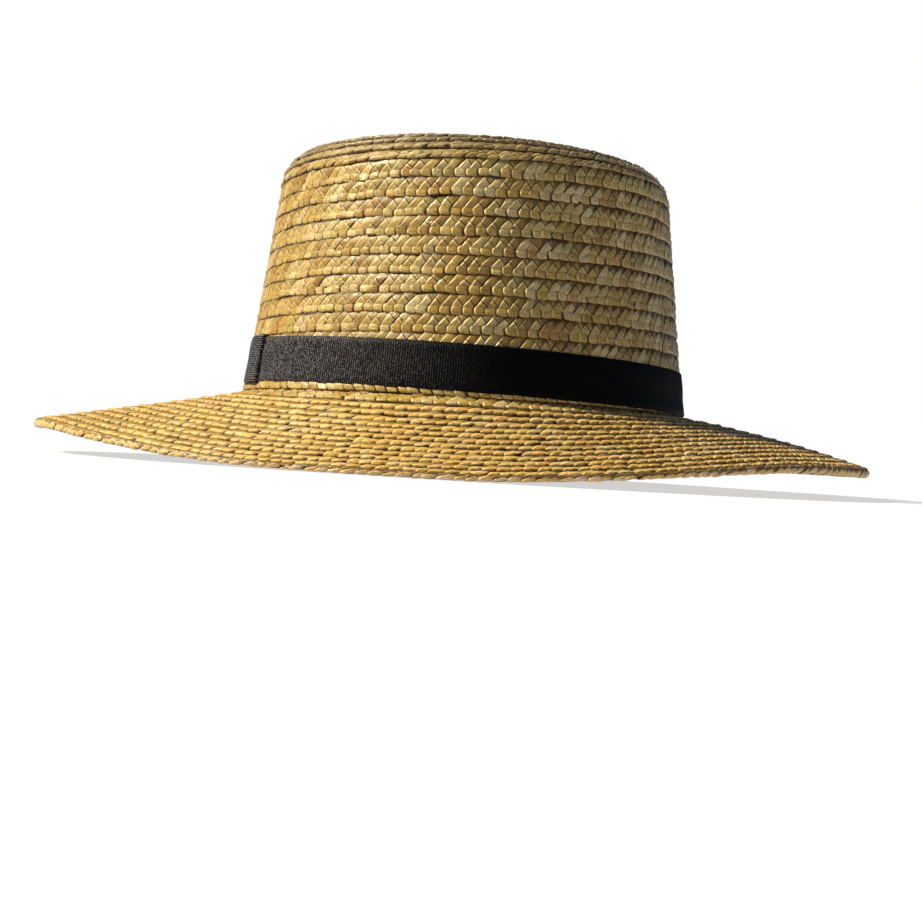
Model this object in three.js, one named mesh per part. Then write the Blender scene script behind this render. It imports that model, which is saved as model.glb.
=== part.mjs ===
// A wide-brimmed straw hat: a crown and a brim of sewn plait, a ribbon band and the keeper on the band.
// Millimetres, +Z up. The hat rests on its rim at z = 0, and its front looks towards -Y.
// An azimuth is measured from the front towards +X.
import * as THREE from 'three';
import { mergeVertices } from 'three/addons/utils/BufferGeometryUtils.js';

// Driving dimensions
const FACETS = 60; // facets round the hat
const GAP = 0.3; // clearance between neighbouring pieces
const STRAW_WALL = 2; // thickness of the sewn plait
const RIBBON = 1; // thickness of the ribbon

const HEAD_RADIUS = 93.4; // mean outside radius where the crown meets the brim
const HEAD_HEIGHT = 26.5; // height of that corner above the floor
const OVAL = 7.5; // how much longer than wide the hat is, on the radius
const CROWN_HEIGHT = 126.8; // top of the tip above the floor
const TIP_RADIUS = 82.5; // outside radius of the crown just under the shoulder
const TIP_RISE = 7.2; // how far the tip domes up above the shoulder's edge
const SHOULDER_RADIUS = 13.2;
const BRIM_WIDTH = 73.5; // from the corner to the rim, seen from above
const FOLD_RADIUS = 2.5; // the bend between crown and brim

const CROWN_ROW = 6.75; // how much of each plait row shows on the crown
const BRIM_ROWS = 14;
const ROW_STEP = 0.6; // how far a row stands over the next one out
const ROW_EDGE = 0.4; // width of the step between two rows
const SLIVER = 3.4; // straw that shows between the band and the lowest row edge on the crown

const BAND_FOOT = 29.1; // mean height of the band's lower edge
const BAND_WIDTH = 16.4;
const BAND_TILT = 1.5; // the band sits this much higher on the left and lower on the right
const SEAM_HEIGHT = 37; // crown and brim part here, behind the band

const KEEPER_START = -76.5; // azimuths of the keeper's two edges, in degrees
const KEEPER_END = -61.5;
const KEEPER_STEPS = 3;
const KEEPER_LIP = 0.8; // thickness of the two lips that hold the band's edges

// The brim bends down to the floor at the front and back and lifts at the sides.
const DIP_AZIMUTH = -9; // middle of the front dip, in degrees
const DIP_FLAT = 9; // half the stretch that lies flat on the floor, in degrees
const DIP_SPAN = 61; // azimuth from the dip's middle at which the full lift is reached
const SIDE_LIFT = 8.8;
const BRIM_BOW_SIDE = 1.9; // how far the brim bows up between the corner and the rim at the sides
const BRIM_BOW_FRONT = -1.4; // at the front and back it sags instead
const BRIM_BOW_RIGHT = 0.85; // the bow is this much more on the right and less on the left
const CROWN_SHIFT = 3.2; // the crown sits this far to the right, so the brim is wider on the left
const RIM_LAND = 3; // width of the flat under the rim row

const CROWN_INSIDE = [3, 4, 1]; // steps of the inside along the tip, the shoulder and the side
const BRIM_INSIDE = [1, 2, 4]; // steps of the underside along the collar, the fold and the brim

const degrees = THREE.MathUtils.degToRad;
const taper = Math.atan2(HEAD_RADIUS - TIP_RADIUS, CROWN_HEIGHT - TIP_RISE - SHOULDER_RADIUS - HEAD_HEIGHT);
const slope = Math.atan2(HEAD_HEIGHT - STRAW_WALL, BRIM_WIDTH);

// Outside radius of the crown's straight side at a height.
function sideRadius(height) {
  return HEAD_RADIUS - (height - HEAD_HEIGHT) * Math.tan(taper);
}

// Outside of the crown from the middle of the tip to a height on its side.
function crownPath(footHeight) {
  const edgeSlope = Math.atan2(2 * TIP_RISE, TIP_RADIUS - SHOULDER_RADIUS);
  const edgeAngle = Math.PI / 2 - edgeSlope;
  const centreRadius = TIP_RADIUS - SHOULDER_RADIUS * Math.cos(taper);
  const edgeHeight = CROWN_HEIGHT - TIP_RISE;
  const centreHeight = edgeHeight - SHOULDER_RADIUS * Math.sin(edgeAngle);
  const edgeRadius = centreRadius + SHOULDER_RADIUS * Math.cos(edgeAngle);
  const path = new THREE.Path();
  path.moveTo(0, CROWN_HEIGHT);
  path.quadraticCurveTo(edgeRadius / 2, CROWN_HEIGHT, edgeRadius, edgeHeight);
  path.absarc(centreRadius, centreHeight, SHOULDER_RADIUS, edgeAngle, taper, true);
  path.lineTo(sideRadius(footHeight), footHeight);
  return path;
}

// Top of the brim from the seam, down the collar, round the fold and out to the rim.
function brimPath() {
  const wallNormal = new THREE.Vector2(Math.cos(taper), Math.sin(taper));
  const brimNormal = new THREE.Vector2(Math.sin(slope), Math.cos(slope));
  const reach = FOLD_RADIUS / (1 + wallNormal.dot(brimNormal));
  const centre = wallNormal.clone().add(brimNormal).multiplyScalar(reach);
  centre.add(new THREE.Vector2(HEAD_RADIUS, HEAD_HEIGHT));
  const top = SEAM_HEIGHT - GAP;
  const path = new THREE.Path();
  path.moveTo(sideRadius(top), top);
  path.lineTo(centre.x - FOLD_RADIUS * wallNormal.x, centre.y - FOLD_RADIUS * wallNormal.y);
  path.absarc(centre.x, centre.y, FOLD_RADIUS, Math.PI + taper, 1.5 * Math.PI - slope, false);
  path.lineTo(HEAD_RADIUS + BRIM_WIDTH, STRAW_WALL);
  return path;
}

// The point at a length along a path, moved out along the path's normal.
function pointAlong(path, length, out = 0) {
  const at = THREE.MathUtils.clamp(length / path.getLength(), 0, 1);
  const point = path.getPoint(at);
  const along = path.getTangent(at);
  return new THREE.Vector2(point.x - along.y * out, point.y + along.x * out);
}

// Lapped rows along a path: each rises to its outer edge, then steps down on to the next one.
function lappedRows(path, edges) {
  const points = [];
  for (let row = 1; row < edges.length; row += 1) {
    points.push(pointAlong(path, edges[row - 1] + ROW_EDGE));
    points.push(pointAlong(path, edges[row], ROW_STEP));
  }
  return points;
}

// Points the wall's thickness inside a path, with the given steps along each of its curves.
function innerWall(path, steps, trim = 0) {
  const spans = path.curves.map((curve) => curve.getLength()).filter((span) => span > ROW_EDGE);
  spans[spans.length - 1] -= trim;
  const points = [pointAlong(path, 0, -STRAW_WALL)];
  let start = 0;
  spans.forEach((span, index) => {
    for (let step = 1; step <= steps[index]; step += 1) {
      points.push(pointAlong(path, start + (span * step) / steps[index], -STRAW_WALL));
    }
    start += span;
  });
  return points;
}

// How far the brim is lifted at an azimuth: nothing in the two dips, most at the sides.
function sideLift(azimuth) {
  const offset = THREE.MathUtils.radToDeg(azimuth) - DIP_AZIMUTH;
  const fromDip = Math.abs(THREE.MathUtils.euclideanModulo(offset + 90, 180) - 90);
  return SIDE_LIFT * THREE.MathUtils.smoothstep(fromDip, DIP_FLAT, DIP_SPAN);
}

// How far the middle of the brim bows up at an azimuth.
function brimBow(azimuth) {
  const sideways = Math.sin(azimuth);
  return BRIM_BOW_FRONT + (BRIM_BOW_SIDE - BRIM_BOW_FRONT) * sideways ** 2 + BRIM_BOW_RIGHT * sideways;
}

// Gives a round piece the hat's oval, the brim's dips and bow, and the crown's shift.
function shapeHat(geometry) {
  const place = geometry.getAttribute('position');
  for (let index = 0; index < place.count; index += 1) {
    const x = place.getX(index);
    const y = place.getY(index);
    const radius = Math.hypot(x, y);
    const azimuth = Math.atan2(x, -y);
    const oval = OVAL * Math.min(1, radius / HEAD_RADIUS);
    const across = THREE.MathUtils.clamp((radius - HEAD_RADIUS) / (BRIM_WIDTH - RIM_LAND), 0, 1);
    const bow = brimBow(azimuth) * 4 * across * (1 - across);
    place.setX(index, (radius - oval) * Math.sin(azimuth) + CROWN_SHIFT * (1 - across));
    place.setY(index, -(radius + oval) * Math.cos(azimuth));
    place.setZ(index, place.getZ(index) + sideLift(azimuth) * across ** 1.5 + bow);
  }
  return geometry;
}

// Tilts the band and the keeper along the crown's side: higher on the left, lower on the right.
function tiltBand(geometry) {
  const place = geometry.getAttribute('position');
  for (let index = 0; index < place.count; index += 1) {
    const x = place.getX(index);
    const y = place.getY(index);
    const radius = Math.hypot(x, y);
    const rise = -BAND_TILT * (x / radius);
    const narrowing = 1 - (rise * Math.tan(taper)) / radius;
    place.setXYZ(index, x * narrowing, y * narrowing, place.getZ(index) + rise);
  }
  return geometry;
}

// Revolves a profile about Z, through all or part of a turn, and keeps positions only.
function revolve(profile, facets = FACETS, start = 0, sweep = 2 * Math.PI) {
  const turned = new THREE.LatheGeometry(profile, facets, start, sweep);
  turned.rotateX(Math.PI / 2);
  turned.deleteAttribute('normal');
  turned.deleteAttribute('uv');
  return mergeVertices(turned);
}

function finish(name, geometry, material) {
  geometry.computeVertexNormals();
  const mesh = new THREE.Mesh(geometry, material);
  mesh.name = name;
  return mesh;
}

const straw = () => new THREE.MeshStandardMaterial({ color: 0xc9a45c, roughness: 0.55, metalness: 0 });
const ribbon = () => new THREE.MeshStandardMaterial({ color: 0x14151c, roughness: 0.75, metalness: 0 });

function makeCrown() {
  const path = crownPath(SEAM_HEIGHT);
  const length = path.getLength();
  const bandHead = BAND_FOOT + BAND_WIDTH;
  const lowestEdge = length - (bandHead - SEAM_HEIGHT) / Math.cos(taper) - SLIVER;
  const rows = Math.floor(lowestEdge / CROWN_ROW);
  const edges = Array.from({ length: rows + 1 }, (_, row) => lowestEdge - (rows - row) * CROWN_ROW);
  const outside = [
    pointAlong(path, 0, ROW_STEP),
    pointAlong(path, edges[0], ROW_STEP),
    ...lappedRows(path, edges),
    pointAlong(path, lowestEdge + ROW_EDGE),
    pointAlong(path, length),
  ];
  const inside = innerWall(path, CROWN_INSIDE);
  inside[0].x = 0;
  outside[0].x = 0;
  return finish('crown', shapeHat(revolve([...inside, ...outside.reverse()])), straw());
}

function makeBrim() {
  const path = brimPath();
  const length = path.getLength();
  const firstEdge = (SEAM_HEIGHT - BAND_FOOT + BAND_TILT) / Math.cos(taper);
  const row = (length - firstEdge) / BRIM_ROWS;
  const edges = Array.from({ length: BRIM_ROWS + 1 }, (_, index) => firstEdge + row * index);
  const rim = HEAD_RADIUS + BRIM_WIDTH;
  const outside = [pointAlong(path, 0), ...lappedRows(path, edges)];
  const land = [new THREE.Vector2(rim, 0), new THREE.Vector2(rim - RIM_LAND, 0)];
  const inside = innerWall(path, BRIM_INSIDE, 2 * RIM_LAND).reverse();
  const profile = [...outside, ...land, ...inside, outside[0].clone()].reverse();
  return finish('brim', shapeHat(revolve(profile)), straw());
}

// A point on the crown's side at a height, moved out from the straw.
function besideCrown(height, out) {
  return new THREE.Vector2(
    sideRadius(height) + out * Math.cos(taper),
    height + out * Math.sin(taper),
  );
}

function makeBand() {
  const profile = [
    besideCrown(BAND_FOOT, GAP),
    besideCrown(BAND_FOOT, GAP + RIBBON),
    besideCrown(BAND_FOOT + BAND_WIDTH, GAP + RIBBON),
    besideCrown(BAND_FOOT + BAND_WIDTH, GAP),
    besideCrown(BAND_FOOT, GAP),
  ];
  return finish('hat_band', shapeHat(tiltBand(revolve(profile))), ribbon());
}

// The keeper is a C section over the band: a face outside it and a lip round each edge.
function makeKeeper() {
  const foot = BAND_FOOT - GAP;
  const head = BAND_FOOT + BAND_WIDTH + GAP;
  const under = 2 * GAP + RIBBON;
  const section = new THREE.Shape([
    besideCrown(foot - KEEPER_LIP, GAP),
    besideCrown(foot - KEEPER_LIP, under + RIBBON),
    besideCrown(head + KEEPER_LIP, under + RIBBON),
    besideCrown(head + KEEPER_LIP, GAP),
    besideCrown(head, GAP),
    besideCrown(head, under),
    besideCrown(foot, under),
    besideCrown(foot, GAP),
  ]);
  const sweep = degrees(KEEPER_END - KEEPER_START);
  const bend = new THREE.ExtrudeGeometry(section, { depth: sweep, steps: KEEPER_STEPS, bevelEnabled: false });
  const place = bend.getAttribute('position');
  for (let index = 0; index < place.count; index += 1) {
    const radius = place.getX(index);
    const height = place.getY(index);
    const azimuth = degrees(KEEPER_END) - place.getZ(index);
    place.setXYZ(index, radius * Math.sin(azimuth), -radius * Math.cos(azimuth), height);
  }
  bend.deleteAttribute('normal');
  bend.deleteAttribute('uv');
  return finish('band_keeper', shapeHat(tiltBand(mergeVertices(bend))), ribbon());
}

const hat = new THREE.Group();
hat.add(makeCrown(), makeBrim(), makeBand(), makeKeeper());

export default hat;
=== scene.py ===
"""Looks of a wide-brimmed straw hat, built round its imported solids.

The straw is one flat plait: each row laps over the next one out, and slanted strands cross in every row.
The crown's plait runs in a spiral from the middle of the tip, the brim's rows are rings, and a dark
grosgrain ribbon with an upright keeper goes round the foot of the crown. Sizes are in metres.
"""

import logging
from dataclasses import dataclass, replace
from enum import Enum
from math import atan2, cos, pi, radians, sin, sqrt, tan

import bpy
import numpy as np
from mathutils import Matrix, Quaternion, Vector


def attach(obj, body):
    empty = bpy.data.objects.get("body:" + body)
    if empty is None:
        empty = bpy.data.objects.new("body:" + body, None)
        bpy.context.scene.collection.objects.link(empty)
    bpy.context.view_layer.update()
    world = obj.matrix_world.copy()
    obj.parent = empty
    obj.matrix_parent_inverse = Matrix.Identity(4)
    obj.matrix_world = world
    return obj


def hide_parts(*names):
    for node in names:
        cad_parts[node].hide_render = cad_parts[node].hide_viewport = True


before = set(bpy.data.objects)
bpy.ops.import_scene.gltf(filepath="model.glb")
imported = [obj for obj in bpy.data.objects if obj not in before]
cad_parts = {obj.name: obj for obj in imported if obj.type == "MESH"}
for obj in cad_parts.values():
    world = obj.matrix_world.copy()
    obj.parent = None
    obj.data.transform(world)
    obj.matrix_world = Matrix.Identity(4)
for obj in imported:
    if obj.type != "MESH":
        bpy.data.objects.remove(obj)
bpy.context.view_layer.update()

log = logging.getLogger("straw_hat")
Grid = np.ndarray
Mesh = bpy.types.Mesh
Material = bpy.types.Material
Socket = bpy.types.NodeSocket
Numbers = tuple[float, ...]
Colour = tuple[float, float, float, float]
Stops = tuple[tuple[float, tuple[float, float, float]], ...]
FLAT_MAP = "weave"


class Solid(Enum):
    """The solids that the pieces stand for."""

    CROWN = "crown"
    BRIM = "brim"
    HAT_BAND = "hat_band"
    BAND_KEEPER = "band_keeper"


class Slot(Enum):
    """The record's material slots."""

    STRAW = "straw"
    RIBBON = "ribbon"


class Kind(Enum):
    """What a stretch of strand is; flat maps give it to the finish, two units apart."""

    KNUCKLE = 0
    LEAF = 1
    GRAIN = 2
    SUNK_LEAF = 3
    RIM_GRAIN = 4
    RIM_LEAF = 5


def smooth_step(low: float, high: float, value: Grid) -> Grid:
    """Eases values from 0 at low to 1 at high, as 3t^2 - 2t^3 of the clipped share t."""
    share = np.clip((value - low) / (high - low), 0.0, 1.0)
    return share * share * (3.0 - 2.0 * share)


def wander(places: Grid, seed: int, waves: int = 5) -> Grid:
    """Gives a smooth irregular wave between about -1 and 1.

    Args:
        places: where to read the wave.
        seed: which wave to draw.
        waves: how many sines are summed.

    Returns:
        The mean of sines whose rates and phases are drawn from the seed, scaled to about one.
    """
    draw = np.random.default_rng(seed)
    rates = draw.uniform(0.4, 2.6, waves)
    phases = draw.uniform(0.0, 2.0 * pi, waves)
    total = sum(np.sin(rate * places + phase) for rate, phase in zip(rates, phases))
    return total / sqrt(waves)


@dataclass(frozen=True)
class HatForm:
    """Bare shape of the hat: an outline turned about the axis, then made oval, dipped and bowed."""

    head_radius: float = 0.0934
    head_height: float = 0.0265
    oval: float = 0.0075
    crown_height: float = 0.1268
    tip_radius: float = 0.0825
    tip_rise: float = 0.0072
    shoulder_radius: float = 0.0132
    brim_width: float = 0.0735
    fold_radius: float = 0.0025
    straw_wall: float = 0.002
    dip_azimuth: float = radians(-9.0)
    dip_flat: float = radians(9.0)
    dip_span: float = radians(61.0)
    side_lift: float = 0.0088
    brim_bow_side: float = 0.0019
    brim_bow_front: float = -0.0014
    brim_bow_right: float = 0.00085
    crown_shift: float = 0.0032
    rim_land: float = 0.003
    band_foot: float = 0.0291
    band_width: float = 0.0164
    band_tilt: float = 0.0015
    band_gap: float = 0.0003
    band_press: float = 0.6
    press_ease: float = 0.0006
    rim_round: float = 0.00095
    rim_inset: float = 0.0013
    rim_steps: int = 60

    @property
    def taper(self) -> float:
        """Lean of the crown's side from upright, in radians."""
        rise = self.crown_height - self.tip_rise - self.shoulder_radius - self.head_height
        return atan2(self.head_radius - self.tip_radius, rise)

    def side_radius(self, height: Grid) -> Grid:
        """Mean outside radius of the crown's straight side at a height."""
        return self.head_radius - (height - self.head_height) * tan(self.taper)

    def outline(self) -> tuple[Grid, Grid]:
        """Works out the hat's outside outline from the middle of the tip to the rim.

        The tip is a parabola, the shoulder and the fold are arcs, the side and the brim are straight, and
        the rim is rounded under.

        Returns:
            Radii and heights of closely spaced points along the outline.
        """
        taper = self.taper
        edge_slope = atan2(2.0 * self.tip_rise, self.tip_radius - self.shoulder_radius)
        centre_r = self.tip_radius - self.shoulder_radius * cos(taper)
        edge_z = self.crown_height - self.tip_rise
        centre_z = edge_z - self.shoulder_radius * cos(edge_slope)
        edge_r = centre_r + self.shoulder_radius * sin(edge_slope)
        share = np.linspace(0.0, 1.0, 400)
        bend = np.linspace(pi / 2.0 - edge_slope, taper, 200)
        slope = atan2(self.head_height - self.straw_wall, self.brim_width)
        wall = np.array([cos(taper), sin(taper)])
        brim = np.array([sin(slope), cos(slope)])
        fold = np.array([self.head_radius, self.head_height])
        fold = fold + (wall + brim) * self.fold_radius / (1.0 + wall @ brim)
        turn = np.linspace(pi + taper, 1.5 * pi - slope, 80)
        rim_r = self.head_radius + self.brim_width - self.rim_inset * cos(slope)
        rim_z = self.straw_wall + self.rim_inset * sin(slope)
        under = np.linspace(pi / 2.0 - slope, -pi / 2.0, self.rim_steps)
        radii = np.concatenate([
            share * edge_r,
            centre_r + self.shoulder_radius * np.cos(bend),
            fold[0] + self.fold_radius * np.cos(turn),
            rim_r + self.rim_round * (np.cos(under) - sin(slope)),
        ])
        heights = np.concatenate([
            self.crown_height - self.tip_rise * share ** 2,
            centre_z + self.shoulder_radius * np.sin(bend),
            fold[1] + self.fold_radius * np.sin(turn),
            rim_z + self.rim_round * (np.sin(under) - cos(slope)),
        ])
        return radii, heights

    def place(self, radius: Grid, height: Grid, azimuth: Grid) -> Grid:
        """Moves points of the round outline to where they lie on the hat.

        A circle becomes an oval that is longer front to back; the brim lifts away from its two dips and
        bows up between corner and rim; the crown stands a little to the right of the brim's middle.

        Args:
            radius: distance from the axis.
            height: height above the floor.
            azimuth: angle from the front towards +X.

        Returns:
            Points, with x, y and z along the last axis.
        """
        oval = self.oval * np.minimum(1.0, radius / self.head_radius)
        across = (radius - self.head_radius) / (self.brim_width - self.rim_land)
        across = np.clip(across, 0.0, 1.0)
        turn = np.abs(np.mod(azimuth - self.dip_azimuth + pi / 2.0, pi) - pi / 2.0)
        lift = self.side_lift * smooth_step(self.dip_flat, self.dip_span, turn)
        side = np.sin(azimuth)
        bow = self.brim_bow_front + (self.brim_bow_side - self.brim_bow_front) * side ** 2
        bow = (bow + self.brim_bow_right * side) * 4.0 * across * (1.0 - across)
        x = (radius - oval) * np.sin(azimuth) + self.crown_shift * (1.0 - across)
        y = -(radius + oval) * np.cos(azimuth)
        z = height + lift * across ** 1.5 + bow
        return np.stack(np.broadcast_arrays(x, y, z), axis=-1)


class Wall:
    """The hat's wall, read by the length along its outline from the middle of the tip."""

    least_step: float = 1e-9

    def __init__(self, form: HatForm) -> None:
        """Tabulates the outline's lengths, places and normals.

        Args:
            form: the hat's bare shape.
        """
        self.form = form
        self.radii, self.heights = form.outline()
        along_r, along_z = np.diff(self.radii), np.diff(self.heights)
        steps = np.hypot(along_r, along_z)
        self.lengths = np.concatenate([[0.0], np.cumsum(steps)])
        self._middles = 0.5 * (self.lengths[1:] + self.lengths[:-1])
        self._out_r = -along_z / np.maximum(steps, self.least_step)
        self._out_z = along_r / np.maximum(steps, self.least_step)

    @property
    def rim(self) -> float:
        """Length from the middle of the tip to where the rim starts to round under."""
        return float(self.lengths[-self.form.rim_steps])

    @property
    def end(self) -> float:
        """Length from the middle of the tip to the outline's end under the rim."""
        return float(self.lengths[-1])

    def radius(self, length: Grid) -> Grid:
        """Mean radius at a length."""
        return np.interp(length, self.lengths, self.radii)

    def length_at_height(self, height: float) -> float:
        """Length at which the crown's side is at a height."""
        return float(np.interp(-height, -self.heights, self.lengths))

    def point(self, length: Grid, azimuth: Grid, out: Grid) -> Grid:
        """Places points that stand off the wall along its normal; behind the band they are pressed flat.

        Args:
            length: length along the outline.
            azimuth: angle from the front towards +X.
            out: how far the points stand off the outline, outwards.

        Returns:
            Points on the hat.
        """
        form = self.form
        out_r = np.interp(length, self._middles, self._out_r)
        out_z = np.interp(length, self._middles, self._out_z)
        scale = 1.0 / np.hypot(out_r, out_z)
        radius = np.interp(length, self.lengths, self.radii)
        height = np.interp(length, self.lengths, self.heights)
        half = 0.5 * form.band_width
        level = np.abs(height + form.band_tilt * np.sin(azimuth) - form.band_foot - half)
        pressed = smooth_step(half, half - form.press_ease, level)
        out = out + pressed * (np.minimum(out, form.band_press * form.band_gap) - out)
        radius = np.maximum(radius + out_r * scale * out, 0.0)
        return form.place(radius, height + out_z * scale * out, azimuth)


def flat_marks(along: Grid, up: Grid) -> Grid:
    """Joins the two flat coordinates that a finish reads."""
    return np.stack(np.broadcast_arrays(along, up), axis=-1)


def quad_mesh(points: Grid, corners: Grid, flat: Grid) -> Mesh:
    """Fills a mesh with quads.

    Args:
        points: places, with x, y and z along the last axis.
        corners: the numbers of each quad's four points, along the last axis.
        flat: two flat coordinates for each corner.

    Returns:
        The mesh, smooth shaded, with its flat map.
    """
    mesh = bpy.data.meshes.new("surface")
    count = corners.size // 4
    mesh.vertices.add(points.size // 3)
    mesh.vertices.foreach_set("co", points.astype(np.float32).ravel())
    mesh.loops.add(4 * count)
    mesh.loops.foreach_set("vertex_index", corners.astype(np.int32).ravel())
    mesh.polygons.add(count)
    mesh.polygons.foreach_set("loop_start", np.arange(0, 4 * count, 4, dtype=np.int32))
    mesh.polygons.foreach_set("use_smooth", np.ones(count, dtype=bool))
    mesh.uv_layers.new(name=FLAT_MAP).data.foreach_set("uv", flat.astype(np.float32).ravel())
    mesh.update(calc_edges=True)
    mesh.validate()
    return mesh


def hoop_mesh(points: Grid, marks: Grid) -> Mesh:
    """Makes a quad mesh of a grid whose last column joins its first.

    Args:
        points: places, indexed by column, row and coordinate.
        marks: flat coordinates, indexed by column, row and axis, with one column more than the points.

    Returns:
        The mesh.
    """
    columns, rows = points.shape[:2]
    col = np.arange(columns)[:, None]
    row = np.arange(rows - 1)[None, :]
    corner_cols = np.stack(np.broadcast_arrays(col, col + 1, col + 1, col + 0 * row), axis=-1)
    corner_rows = np.stack(np.broadcast_arrays(row + 0 * col, row, row + 1, row + 1), axis=-1)
    corners = (corner_cols % columns) * rows + corner_rows
    return quad_mesh(points, corners, marks[corner_cols, corner_rows])


def patch_mesh(points: Grid, marks: Grid, flip: bool = False) -> Mesh:
    """Makes a mesh of one or many separate quad patches.

    Args:
        points: places, indexed by patch where there are many, column, row and coordinate.
        marks: flat coordinates, indexed in the same way.
        flip: whether faces point the other way.

    Returns:
        The mesh.
    """
    columns, rows = points.shape[-3:-1]
    patches = points.size // (3 * columns * rows)
    patch = np.arange(patches)[:, None, None] * columns * rows
    col = np.arange(columns - 1)[None, :, None] * rows
    row = np.arange(rows - 1)[None, None, :]
    first = patch + col + row
    corners = np.stack([first, first + rows, first + rows + 1, first + 1], axis=-1)
    if flip:
        corners = corners[..., ::-1]
    return quad_mesh(points, corners, marks.reshape(-1, 2)[corners.ravel()])


def wear(name: str, meshes: list[Mesh], solid: Solid, finish: Material) -> None:
    """Joins meshes into one piece, dresses it, sets it on the hat and lets it stand for its solid.

    Args:
        name: the piece's name.
        meshes: the meshes, which are used up.
        solid: the solid that it stands for.
        finish: the material.
    """
    objects = [bpy.data.objects.new(name, mesh) for mesh in meshes]
    for part in objects:
        bpy.context.scene.collection.objects.link(part)
    piece = objects[0]
    if len(objects) > 1:
        with bpy.context.temp_override(
            active_object=piece,
            object=piece,
            selected_objects=objects,
            selected_editable_objects=objects,
        ):
            bpy.ops.object.join()
    piece.name = name
    piece.data.name = name
    piece.data.materials.clear()
    piece.data.materials.append(finish)
    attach(piece, "root")
    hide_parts(solid.value)
    log.info("%s: %d faces", piece.name, len(piece.data.polygons))


class Course:
    """A row of plait on the hat.

    Points on it are read by pitches to the right along the row, by shares of the row's width, from 0 at
    its upper to 1 at its lower edge, and by how far they stand off the wall.
    """

    lanes: int
    first_number: int = 1

    def place(self, right: Grid, across: Grid, out: Grid) -> Grid:
        """Gives the points' places on the hat."""
        raise NotImplementedError


@dataclass(frozen=True)
class CrownRows:
    """Widths and places of the crown's rows, and how their edges waver."""

    side_row: float = 0.00675
    tip_row: float = 0.0040
    side_rows: int = 9
    edge_height: float = 0.0489
    foot_height: float = 0.040
    wider: float = 0.023
    wider_right: float = 0.036
    wider_from: float = 0.03
    wider_full: float = 0.085
    wave: float = 0.0002
    slow_wave: float = 0.17
    quick_wave: float = 0.7
    steps_per_turn: int = 720


class Spiral(Course):
    """The crown's plait, wound from the middle of the tip with each turn below the last.

    The rows of the tip lap further over each other than those of the side, and the side's rows lap a
    little less on the right of the hat.
    """

    def __init__(self, wall: Wall, rows: CrownRows, pitch: float) -> None:
        """Tabulates how many pitches of plait lie between the tip and each turn.

        Args:
            wall: the hat's wall.
            rows: how wide the rows are and where they lie.
            pitch: length of plait from one strand to the next.
        """
        self.wall = wall
        self.rows = rows
        self.front = wall.length_at_height(rows.edge_height)
        self.joint = self.front - rows.side_rows * rows.side_row
        self.joint_turn = 1.0 + self.joint / rows.tip_row
        self.front_turn = self.joint_turn + rows.side_rows
        foot = wall.length_at_height(rows.foot_height)
        foot_turn = self.front_turn + (foot - self.front) / rows.side_row
        step = 1.0 / rows.steps_per_turn
        self.turns = np.arange(0.0, foot_turn, step)
        middle = wall.radius(self.edge(self.turns + 0.5))
        self.runs = np.concatenate([[0.0], np.cumsum(middle[1:] * 2.0 * pi * step)]) / pitch
        self.lanes = int(self.runs[-1])

    def edge(self, turn: Grid) -> Grid:
        """Length of a row's upper edge after a number of turns; the first turn grows from nothing."""
        tip = self.rows.tip_row * np.maximum(turn - 1.0, 0.0)
        side = self.joint + self.rows.side_row * (turn - self.joint_turn)
        return np.where(turn < self.joint_turn, tip, side)

    def lane_above(self, side_rows: int) -> int:
        """Lane, counted from the right, that lies behind, above a number of the side's rows."""
        turn = self.front_turn - side_rows - 0.5
        return self.lanes - int(np.interp(turn, self.turns, self.runs))

    def place(self, right: Grid, across: Grid, out: Grid) -> Grid:
        """Places points; the course runs to the left as it comes down."""
        rows = self.rows
        turn = np.interp(self.lanes - right, self.runs, self.turns)
        azimuth = -2.0 * pi * (turn - self.front_turn)
        wave = rows.wave * (wander(right * rows.slow_wave, 5) + wander(right * rows.quick_wave, 6))
        length = self.edge(turn + across)
        wider = (rows.wider + rows.wider_right * np.sin(azimuth)) * (self.front - length)
        length = length - wider * smooth_step(rows.wider_from, rows.wider_full, length)
        return self.wall.point(length + wave * np.clip(across, 0.0, 1.0), azimuth, out)


class Ring(Course):
    """One ring of the brim's plait; at the hat's sides its relief is raised and calmer."""

    wave: float = 0.00014
    side_rise: float = 0.0011
    side_calm: float = 0.5
    right_calm: float = 0.1
    rise_from: float = 0.168
    rise_full: float = 0.188
    calm_low: float = -0.0015
    calm_high: float = 0.001
    number_step: int = 37

    def __init__(self, wall: Wall, upper: float, lower: float, pitch: float, seed: int) -> None:
        """Works out how many strands fit round the ring.

        Args:
            wall: the hat's wall.
            upper: length at which the row starts.
            lower: length at which it ends.
            pitch: length of plait from one strand to the next.
            seed: what the ring's start is drawn from.
        """
        self.wall = wall
        self.upper = upper
        self.lower = lower
        self.seed = seed
        self.first_number = 1 + self.number_step * seed
        self.start = float(np.random.default_rng(seed).uniform(0.0, 2.0 * pi))
        self.lanes = round(2.0 * pi * float(wall.radius(0.5 * (upper + lower))) / pitch)

    def place(self, right: Grid, across: Grid, out: Grid) -> Grid:
        """Places points; a slow wave keeps the row's edge from being drawn with a compass."""
        azimuth = self.start + 2.0 * pi * right / self.lanes
        wave = wander(3.0 * np.sin(azimuth) + 2.0 * np.cos(2.0 * azimuth), self.seed)
        length = self.upper + across * (self.lower - self.upper)
        length = length + self.wave * wave * np.clip(across, 0.0, 1.0)
        side = np.sin(azimuth) ** 2 * smooth_step(self.rise_from, self.rise_full, length)
        calm = self.side_calm + self.right_calm * np.maximum(np.sin(azimuth), 0.0)
        out = out + side * (self.side_rise - calm * np.clip(out, self.calm_low, self.calm_high))
        points = self.wall.point(length, azimuth, out)
        points[..., 2] = np.maximum(points[..., 2], 0.0)
        return points


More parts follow.
